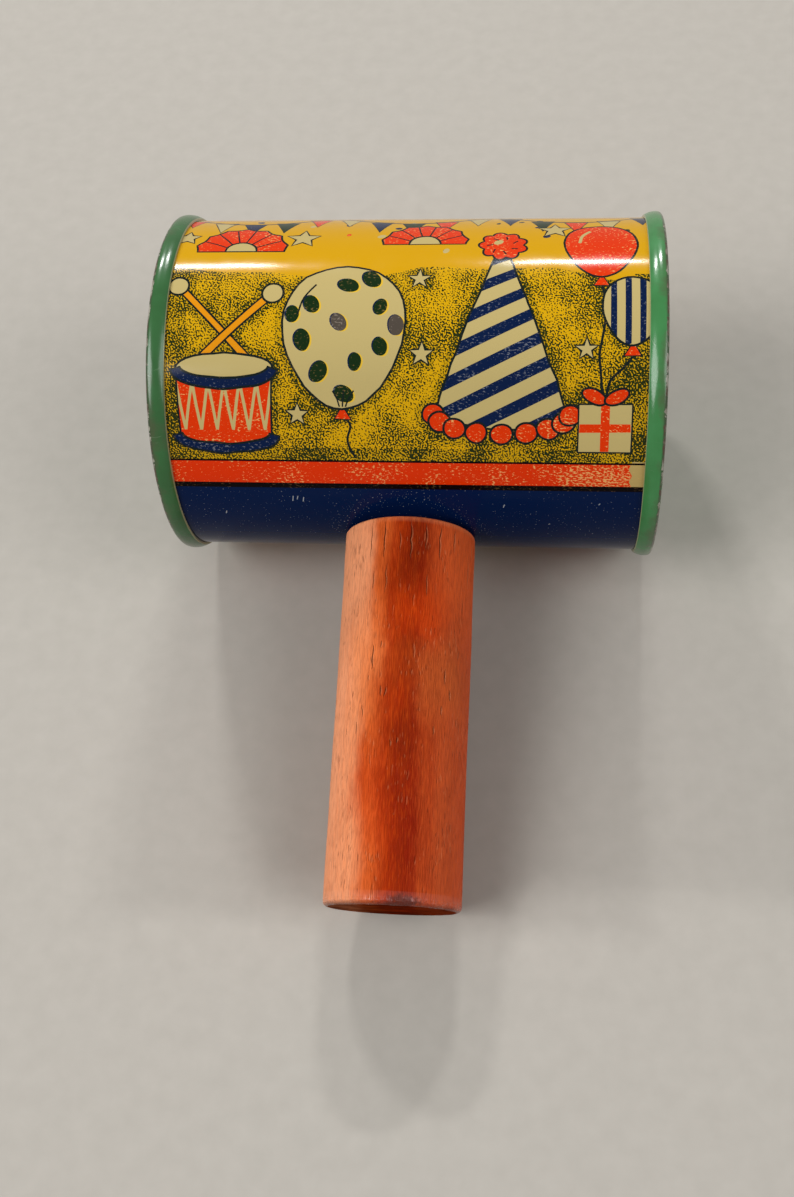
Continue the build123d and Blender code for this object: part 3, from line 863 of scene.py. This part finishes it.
# The bent sheet: a printed skin, a bare inside, their edges, and the folded seam behind the joint.
turns = np.radians(flat_spots[:, 1] / arc + seam_angle)
count = len(flat_spots)
radial = np.stack([np.zeros(count), np.sin(turns), np.cos(turns)], axis=1)
verts = []
for radius in (shell_radius, shell_radius - tin):
    rolled = radius * radial
    rolled[:, 0] = flat_spots[:, 0]
    verts += [tuple(spot) for spot in rolled * MM]
outer_faces = [tuple(int(corner) for corner in face) for face in flat_faces]
corner_a, corner_b, corner_c = [np.array(verts[corner]) for corner in outer_faces[0]]
if np.dot(np.cross(corner_b - corner_a, corner_c - corner_a), corner_a * (0, 1, 1)) < 0:
    outer_faces = [face[::-1] for face in outer_faces]
inner_faces = [tuple(corner + count for corner in face[::-1]) for face in outer_faces]
ways = {(face[corner], face[(corner + 1) % 3]) for face in outer_faces for corner in range(3)}
rim_faces = [(stop, start, start + count, stop + count) for start, stop in sorted(ways)
             if (stop, start) not in ways]
for step in range(fold_steps + 1):
    angle = math.radians(seam_angle) + (step / fold_steps - 0.5) * fold_width / shell_radius
    for sideways in (-shell_half + fold_inset, shell_half - fold_inset):
        for radius in (shell_radius - tin - fold_height, shell_radius - tin):
            verts.append((sideways * MM, radius * math.sin(angle) * MM, radius * math.cos(angle) * MM))
fold_first = 2 * count
fold_last = fold_first + 4 * fold_steps
fold_faces = []
for here in range(fold_first, fold_last, 4):
    there = here + 4
    fold_faces += [(here, there, there + 2, here + 2), (here + 1, here + 3, there + 3, there + 1),
                   (here, here + 1, there + 1, there), (here + 2, there + 2, there + 3, here + 3)]
fold_faces += [(fold_first, fold_first + 2, fold_first + 3, fold_first + 1),
               (fold_last, fold_last + 1, fold_last + 3, fold_last + 2)]
mesh = bpy.data.meshes.new("printed_shell")
mesh.from_pydata(verts, [], outer_faces + inner_faces + rim_faces + fold_faces)
printed = len(outer_faces)
ink_values = np.zeros((len(mesh.polygons), 4))
wear_values = np.zeros((len(mesh.polygons), 4))
for index, name in enumerate(ink_names):
    ink_values[index] = colour(inks[name][0])
    wear_values[index] = (*inks[name][1:], 1)
mesh.attributes.new("ink", "FLOAT_COLOR", "FACE").data.foreach_set("color", ink_values.ravel())
mesh.attributes.new("wear", "FLOAT_COLOR", "FACE").data.foreach_set("color", wear_values.ravel())

# The flat sheet is also the map for the print's patterns, with the bare inside beside it and the fold apart.
sheet_map = mesh.uv_layers.new(name="OFBake")
loop_spots = np.zeros(len(mesh.loops), int)
mesh.loops.foreach_get("vertex_index", loop_spots)
map_spots = np.zeros((len(verts), 2))
map_spots[:count] = (flat_spots + (shell_half, 0)) / sheet_length
map_spots[count:fold_first] = map_spots[:count] + (0.5, 0)
map_spots[fold_first:] = (0.97, 0.5)
sheet_map.data.foreach_set("uv", map_spots[loop_spots].ravel())
normals = np.zeros((len(mesh.loops), 3))
normals[:3 * printed] = radial[loop_spots[:3 * printed]]
normals[3 * printed:6 * printed] = -radial[loop_spots[3 * printed:6 * printed] - count]
mesh.polygons.foreach_set("use_smooth", np.arange(len(mesh.polygons)) < 2 * printed)
mesh.normals_split_custom_set([tuple(normal) for normal in normals])
shell = put("printed_shell", mesh, axle_place)

# Lithographed tinplate: opaque inks under a hard clear varnish. The eye sees crisp flat colours, a glossy
# streak along the curve, dark worm-like stipple, pale flecks where inks have worn, and specks on the navy.
# Patterns lie on the flat sheet, and their sizes are in mm.
litho, tree, surface = finish_of("lithographed tinplate")
sheet = add(tree, "UVMap", uv_map="OFBake")
flat_mm = add(tree, "VectorMath", {0: sheet, "Scale": sheet_length}, operation="SCALE")
sheet_place = add(tree, "SeparateXYZ", [flat_mm])
ink = add(tree, "Attribute", attribute_name="ink")
wear = add(tree, "SeparateColor", [add(tree, "Attribute", attribute_name="wear")])
marks = {}
for name, size, detail in (("clouds", 7.0, 2.0), ("patches", 6.0, 2.0), ("specks", 0.34, 1.0),
                           ("grime", 4.0, 5.0), ("ripples", 16.0, 1.0)):
    marks[name] = add(tree, "TexNoise",
                      {"Vector": flat_mm, "Scale": 1 / size, "Detail": detail}, noise_dimensions="2D")

# Stipple: worms of dark ink, denser in slow clouds, on the inks that carry it.
worm_width = 0.26
worms = add(tree, "TexGabor",
            {"Vector": flat_mm, "Scale": 1 / (2 * worm_width), "Frequency": 1.0, "Anisotropy": 0.15,
             "Orientation": math.radians(35)}, gabor_type="2D")
cloud = add(tree, "MapRange", [marks["clouds"], 0.35, 0.65, -0.22, 0.18])
dense = add(tree, "Math", [wear.outputs[0], cloud], operation="ADD")
level = add(tree, "MapRange", [dense, 0.0, 1.0, 0.66, 0.34])
worm_over = add(tree, "Math", [worms, level], operation="SUBTRACT")
worm_mask = add(tree, "MapRange", [worm_over, -0.02, 0.02])
on_ground = add(tree, "Math", [wear.outputs[0], 0.2], operation="GREATER_THAN")
stipple = add(tree, "Math", [worm_mask, on_ground], operation="MULTIPLY")
stippled = add(tree, "Mix", {0: stipple, 6: ink, 7: "#202a0c"}, data_type="RGBA")

# Wear: flecks rubbed off in patches, most of all at the stripe's right end.
fleck_room = add(tree, "Mapping", {"Vector": flat_mm, "Scale": (1 / 0.62, 1 / 0.34, 1)})
flecks = add(tree, "TexNoise",
             {"Vector": fleck_room, "Scale": 1.0, "Detail": 3.0, "Roughness": 0.6}, noise_dimensions="2D")
patch = add(tree, "MapRange", [marks["patches"], 0.35, 0.70, 0.69, 0.57])
worn_end = add(tree, "MapRange", [sheet_place.outputs[0], shell_half + 22, shell_half + 43, 0.0, 0.13])
on_stripe = add(tree, "Math", [wear.outputs[1], inks["stripe red"][2], 0.06], operation="COMPARE")
stripe_end = add(tree, "Math", [worn_end, on_stripe], operation="MULTIPLY")
fleck_hold = add(tree, "Math", [patch, stripe_end], operation="SUBTRACT")
fleck_over = add(tree, "Math", [flecks, fleck_hold], operation="SUBTRACT")
fleck_mask = add(tree, "MapRange", [fleck_over, -0.01, 0.07, 0.0, 0.9])
fleck_share = add(tree, "Math", [fleck_mask, wear.outputs[1]], operation="MULTIPLY")

# Specks on the navy band, thicker in a ring where the handle's edge has rubbed the turning drum.
ring_centre = (shell_half, -seam_angle * arc, 0.0)
ring_away = add(tree, "VectorMath", [flat_mm, ring_centre], operation="DISTANCE")
ring_past = add(tree, "Math", [ring_away, handle_radius + 1.4], operation="SUBTRACT")
ring_off = add(tree, "Math", [ring_past], operation="ABSOLUTE")
ring_hold = add(tree, "MapRange", [ring_off, 0.4, 3.0, 0.735, 0.785])
speck_over = add(tree, "Math", [marks["specks"], ring_hold], operation="SUBTRACT")
speck_mask = add(tree, "MapRange", [speck_over, 0.0, 0.04, 0.0, 0.6])
bare_share = add(tree, "Mix", {0: wear.outputs[2], 2: fleck_share, 3: speck_mask})
grey_share = add(tree, "MapRange", [wear.outputs[2], 0.0, inks["navy"][3]])
under = add(tree, "Mix", {0: grey_share, 6: "#e4b26a", 7: "#a9aeb4"}, data_type="RGBA")
flecked = add(tree, "Mix", {0: bare_share, 6: stippled, 7: under}, data_type="RGBA")
shine = add(tree, "MapRange", [marks["grime"], 0.0, 1.0, 0.08, 0.17])
relief = add(tree, "Bump", {"Height": marks["ripples"], "Strength": 0.25, "Distance": 0.4 * MM})
feed(surface, {"Base Color": flecked, "Roughness": shine, "Normal": relief, "IOR": 1.42,
               "Specular IOR Level": 0.14})

# Rubbed lithograph: the same inks on the navy band, where fingers have dulled the varnish to a faint sheen.
rubbed_litho = litho.copy()
rubbed_litho.name = "hand-rubbed lithographed tinplate"
feed(rubbed_litho.node_tree.nodes["Principled BSDF"], {"Specular IOR Level": 0.07})

# Bare tinplate: the unprinted inside and cut edges, pale grey metal with the cloudy spangle of the tin.
bare_tin, tree, surface = finish_of("bare tinplate")
spot = add(tree, "TexCoord").outputs["Object"]
spangle = add(tree, "TexVoronoi", {"Vector": spot, "Scale": 1 / (4 * MM)})
smear = add(tree, "TexNoise", {"Vector": spot, "Scale": 1 / (1.5 * MM), "Detail": 4.0})
tin_tone = add(tree, "Mix", {0: smear, 6: "#8e8c86", 7: "#c9c8c2"}, data_type="RGBA")
tin_dull = add(tree, "MapRange", [spangle, 0.0, 1.0, 0.30, 0.5])
feed(surface, {"Base Color": tin_tone, "Roughness": tin_dull, "Metallic": 1.0})
for finish in (litho, bare_tin, rubbed_litho):
    mesh.materials.append(finish)
finish_numbers = np.ones(len(mesh.polygons), int)
finish_numbers[:printed] = np.where(np.isin(ink_names, ["navy band", "rule", "scratch"]), 2, 0)
mesh.polygons.foreach_set("material_index", finish_numbers)
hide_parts("drum_shell")
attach(shell, "drum")


# Eyelets: brass tubes pressed through the shell and rolled over on both sides, so the axle turns in brass
# and doesn't saw through the thin tin. One lies under the handle's washer and one under the peened head.
# Old brass: yellow metal dulled brown by air, brighter where washers rub.
tarnish_size = 1.2
brass, tree, surface = finish_of("old brass")
spot = add(tree, "TexCoord").outputs["Object"]
tarnish = add(tree, "TexNoise", {"Vector": spot, "Scale": 1 / (tarnish_size * MM), "Detail": 5.0})
tarnish_mask = add(tree, "MapRange", [tarnish, 0.4, 0.68])
brass_tone = add(tree, "Mix", {0: tarnish_mask, 6: "#c9a24e", 7: "#6d5228"}, data_type="RGBA")
brass_dull = add(tree, "MapRange", [tarnish, 0.0, 1.0, 0.25, 0.5])
feed(surface, {"Base Color": brass_tone, "Roughness": brass_dull, "Metallic": 1.0})
coat(brass, "lower_eyelet", "upper_eyelet")


# Reeds: two strips of hardened spring steel, clamped at one end, that snap from tooth to tooth of the wheel
# as the drum spins and make the noise. They can't be seen from outside.
# Blued spring steel: dark blue-grey metal with straw-coloured heat tint and rolling lines along the strip.
roll_length = 6.0
roll_width = 0.4
heat_size = 8.0
spring, tree, surface = finish_of("blued spring steel")
spot = add(tree, "TexCoord").outputs["Object"]
roll_room = add(tree, "Mapping",
                {"Vector": spot, "Scale": (1 / (roll_length * MM), 1 / (roll_width * MM),
                 1 / (roll_width * MM))})
rolling = add(tree, "TexNoise", {"Vector": roll_room, "Scale": 1.0, "Detail": 3.0})
heat = add(tree, "TexNoise", {"Vector": spot, "Scale": 1 / (heat_size * MM), "Detail": 2.0})
spring_tone = add(tree, "Mix", {0: heat, 6: "#4a5260", 7: "#8a8577"}, data_type="RGBA")
spring_dull = add(tree, "MapRange", [rolling, 0.0, 1.0, 0.24, 0.42])
feed(surface, {"Base Color": spring_tone, "Roughness": spring_dull, "Metallic": 1.0})
coat(spring, "left_reed", "right_reed")


# Brackets, clamp plates and rivets: the first two are folded and stamped from the drum's own tinplate, and
# the rivets are drawn steel. They hold the reeds to the end caps and are riveted before the drum is closed.
for side in ("left", "right"):
    coat(bare_tin, side + "_reed_bracket", side + "_clamp_plate")
    coat(steel, side + "_bracket_rivets", side + "_clamp_rivets")


# End caps: pressed tin discs with a recessed panel and a stiffening ring, enamelled green before pressing.
# The rim is rolled outwards over the shell's edge into a round bead and closed down on the print.
panel_face = 45.9
panel_back = 45.6
panel_corner = 0.6
panel_rings = (9, 18)
back_ring = 16
ring_inside = 26.0
ring_width = 3.0
ring_height = 0.7
ring_steps = 12
wall_radius = 32.15
crest_round = 0.5
crest = 47.5
bead_inside = 46.98
lip_radius = 33.25
lip_inside = 32.85
lip_edge = 44.1
lip_round = 0.25
band_rise = 0.45
band_swell = 0.08
band_crown = 33.92
band_steps = 9
corner_round = 0.75
dent_depth = 0.09
dented_radius = 33.3
cap_segments = 160
cap_outline = [(0, panel_face), *[(radius, panel_face) for radius in panel_rings]]
for step in range(ring_steps + 1):
    share = step / ring_steps
    cap_outline.append((ring_inside + ring_width * share,
                        panel_face + ring_height * math.sin(math.pi * share) ** 1.3))
cap_outline += bend(wall_radius - panel_corner, panel_face + panel_corner, panel_corner, -90, 0, 5)
cap_outline += bend(wall_radius + crest_round, crest - crest_round, crest_round, 180, 90, 5)
cap_outline += bend(band_crown - corner_round, crest - corner_round, corner_round, 90, 8, 9)
band_start = crest - corner_round + 0.1
band_length = band_start - lip_edge - lip_round
for step in range(1, band_steps + 1):
    share = step / band_steps
    swell = band_swell * math.sin(math.pi * share ** 0.7)
    cap_outline.append((band_crown + swell - band_rise * share ** 2.6, band_start - band_length * share))
cap_outline += [(lip_radius + 0.08, lip_edge + 0.06), (lip_radius, lip_edge), (lip_inside, lip_edge),
                (lip_inside, bead_inside), (wall_radius + tin, bead_inside), (wall_radius + tin, panel_back),
                (back_ring, panel_back), (0, panel_back)]


def rim_dents(angle, radius, height):
    """Knocks and slow waves of the rolled bead, in mm."""
    spot = Vector((math.cos(angle) * 2.2, math.sin(angle) * 2.2, height * 0.2))
    return dent_depth * noise.noise(spot) * (radius > dented_radius)


# Green enamel: stoved gloss paint. The eye sees a soft bright highlight along the bead, brush-fine scuffs,
# chips of bare tin and brown rust where the outermost edge has rubbed, and grime in the corner at the print.
# Scuffs are drawn coarser than real ones, which would be too fine to show. Noise sizes are in mm.
enamel, tree, surface = finish_of("green stoved enamel")
spot = add(tree, "TexCoord").outputs["Object"]
place = add(tree, "SeparateXYZ", [spot])
marks = {}
for name, size, detail, rough in (("tone", 6.0, 4.0, 0.5), ("tarnish", 9.0, 6.0, 0.6),
                                  ("chips", 1.3, 5.0, 0.65), ("rust", 4.0, 4.0, 0.5),
                                  ("orange peel", 2.2, 2.0, 0.5)):
    marks[name] = add(tree, "TexNoise",
                      {"Vector": spot, "Scale": 1 / (size * MM), "Detail": detail, "Roughness": rough})
toned = add(tree, "Mix", {0: marks["tone"], 6: "#28682f", 7: "#3f8a4f"}, data_type="RGBA")
bead_out = add(tree, "MapRange", [place.outputs[2], (crest - 2.3) * MM, (crest - 0.3) * MM, 0.0, 0.16])
tarnish_over = add(tree, "Math", [marks["tarnish"], bead_out], operation="ADD")
tarnish_mask = add(tree, "MapRange", [tarnish_over, 0.58, 0.72, 0.0, 0.55])
scuff_room = add(tree, "Mapping",
                 {"Vector": spot, "Rotation": (0.5, 0.3, 0.9), "Scale": (1 / (0.2 * MM), 1 / (4 * MM),
                  1 / (4 * MM))})
scuffs = add(tree, "TexNoise", {"Vector": scuff_room, "Scale": 1.0, "Detail": 2.0})
scuff_mask = add(tree, "MapRange", [scuffs, 0.70, 0.78, 0.0, 0.45])

# The bead's outer corner is where distance from the drum's axis and distance along it add up to the most.
outwards = add(tree, "CombineXYZ", [place.outputs[0], place.outputs[1]])
axis_away = add(tree, "VectorMath", [outwards], operation="LENGTH")
corner_sum = add(tree, "Math", [axis_away, place.outputs[2]], operation="ADD")
corner_start = band_crown + crest - 0.75
chip_hold = add(tree, "MapRange", [corner_sum, corner_start * MM, (corner_start + 0.30) * MM, 0.78, 0.46])
chip_over = add(tree, "Math", [marks["chips"], chip_hold], operation="SUBTRACT")
chip_mask = add(tree, "MapRange", [chip_over, 0.0, 0.03])
rub_mask = add(tree, "MapRange",
               [corner_sum, (corner_start + 0.08) * MM, (corner_start + 0.28) * MM, 0.0, 0.7])
rust_mask = add(tree, "MapRange", [marks["rust"], 0.42, 0.58])
metal_tone = add(tree, "Mix", {0: rust_mask, 6: "#9c998c", 7: "#4d3a2a"}, data_type="RGBA")
lip_dirt = add(tree, "MapRange",
               [place.outputs[2], (lip_edge + 0.14) * MM, (lip_edge + 0.02) * MM, 0.0, 0.75])
paint_tone = toned
for mask, layer in ((tarnish_mask, "#4a4632"), (scuff_mask, "#7f9c7c"), (rub_mask, "#2f3a26"),
                    (chip_mask, metal_tone), (lip_dirt, "#a9a27c")):
    paint_tone = add(tree, "Mix", {0: mask, 6: paint_tone, 7: layer}, data_type="RGBA")
paint_dull = add(tree, "MapRange", [marks["tone"], 0.0, 1.0, 0.13, 0.27])
relief = add(tree, "Bump", {"Height": marks["orange peel"], "Strength": 0.2, "Distance": 0.1 * MM})
feed(surface, {"Base Color": paint_tone, "Roughness": paint_dull, "Normal": relief, "IOR": 1.5})

# Shaded enamel: a darker, more olive copy of the green for the left cap, painted shade that makes it render
# deeper than the right one.
shaded_enamel = enamel.copy()
shaded_enamel.name = "shaded green stoved enamel"
feed(shaded_enamel.node_tree.nodes[toned.name], {6: "#1e4c20", 7: "#306a38"})
for side, outward, finish in (("left", -across, shaded_enamel), ("right", across, enamel)):
    cap_place = Matrix((handle_way.cross(outward), -handle_way, outward)).transposed().to_4x4()
    cap_place.translation = drum_centre
    cap = piece_of(side + "_enamelled_cap", *turned(cap_outline[::-1], cap_segments, rim_dents), cap_place)
    cap.data.materials.append(finish)
    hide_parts(side + "_end_cap")
    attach(cap, "drum")


# Floor: a plain pale surface for the toy to lie on. Away from the toy it turns into an even backdrop for the
# eye and for mirrored rays, so that no horizon shows.
# Pale felt: a short soft nap, which gives the eye a matt warm grey with faint clouds.
floor_half = 6.0
nap_size = 4.0
backdrop = "#c4c0b8"
floor_mesh = bpy.data.meshes.new("floor")
floor_corners = [(-floor_half, -floor_half, 0), (floor_half, -floor_half, 0), (floor_half, floor_half, 0),
                 (-floor_half, floor_half, 0)]
floor_mesh.from_pydata(floor_corners, [], [(0, 1, 2, 3)])
floor = put("floor", floor_mesh, Matrix())


def seen_directly(tree):
    """The share of rays that come from the eye, straight, mirrored or through something clear."""
    path = add(tree, "LightPath")
    mirrored = add(tree, "Math",
                   [path.outputs["Is Camera Ray"], path.outputs["Is Glossy Ray"]], operation="MAXIMUM")
    return add(tree, "Math", [mirrored, path.outputs["Is Transmission Ray"]], operation="MAXIMUM")


felt, tree, surface = finish_of("pale grey felt")
spot = add(tree, "TexCoord").outputs["Object"]
nap = add(tree, "TexNoise", {"Vector": spot, "Scale": 1 / (nap_size * MM), "Detail": 4.0})
nap_tone = add(tree, "Mix", {0: nap, 6: "#aca79f", 7: "#b7b2aa"}, data_type="RGBA")
feed(surface, {"Base Color": nap_tone, "Roughness": 0.9, "Specular IOR Level": 0.1})
away = add(tree, "VectorMath", [spot], operation="LENGTH")
far = add(tree, "MapRange", [away, 0.22, 0.85], interpolation_type="SMOOTHSTEP")
far_seen = add(tree, "Math", [far, seen_directly(tree)], operation="MULTIPLY")
even = add(tree, "Emission", {"Color": backdrop, "Strength": 1.0})
swept = add(tree, "MixShader", [far_seen, surface, even])
feed(tree.nodes["Material Output"], {"Surface": swept})
floor_mesh.materials.append(felt)


# Light: two narrow lamps above and behind the drum, whose reflections are the streaks along its top, a wide
# soft lamp on each side, and an even pale surround, which the eye sees as the same backdrop as the floor's.
# Each lamp has a direction from the drum, a distance and a size in metres, and a power in watts.
for name, way, distance, size, power in (
        ("left streak lamp", (-0.27, 0.737, 0.639), 1.1, (0.13, 0.044), 3.4),
        ("right streak lamp", (0.05, 0.788, 0.614), 1.1, (0.11, 0.034), 3.2),
        ("left soft light", (-0.58, -0.37, 0.73), 1.3, (0.7, 0.7), 11.0),
        ("right soft light", (0.66, -0.28, 0.70), 1.3, (0.7, 0.7), 6.0)):
    lamp = bpy.data.lights.new(name, "AREA")
    lamp.shape = "RECTANGLE"
    lamp.size, lamp.size_y = size
    lamp.energy = power
    toward = Vector(way).normalized()
    lamp_place = toward.to_track_quat("Z", "Y").to_matrix().to_4x4()
    lamp_place.translation = drum_centre + toward * distance
    put(name, lamp, lamp_place)
world = bpy.data.worlds.new("even surround")
world.use_nodes = True
tree = world.node_tree
surround = tree.nodes["Background"]
feed(surround, {"Color": "#d9d8d6", "Strength": 0.30})
pale = add(tree, "Background", {"Color": backdrop, "Strength": 1.0})
seen = add(tree, "MixShader", [seen_directly(tree), surround, pale])
feed(tree.nodes["World Output"], {"Surface": seen})
bpy.context.scene.world = world


# Camera: at the photograph's place and angle, looking down on the toy from the handle's end, a bit rolled.
camera = bpy.data.cameras.new("photograph view")
camera.lens = 40.9
camera.sensor_width = 36.0
stand = Vector((25.58, -137.27, 255.87)) * MM
aim = Vector((-5.04, 3.90, 0.0)) * MM
roll = math.radians(9.47)
forward = (aim - stand).normalized()
right = Matrix.Rotation(roll, 3, forward) @ forward.cross(Vector((0, 0, 1))).normalized()
camera_place = Matrix((right, right.cross(forward), -forward)).transposed().to_4x4()
camera_place.translation = stand
bpy.context.scene.camera = put("photograph view", camera, camera_place)
bpy.context.scene.view_settings.view_transform = "Standard"
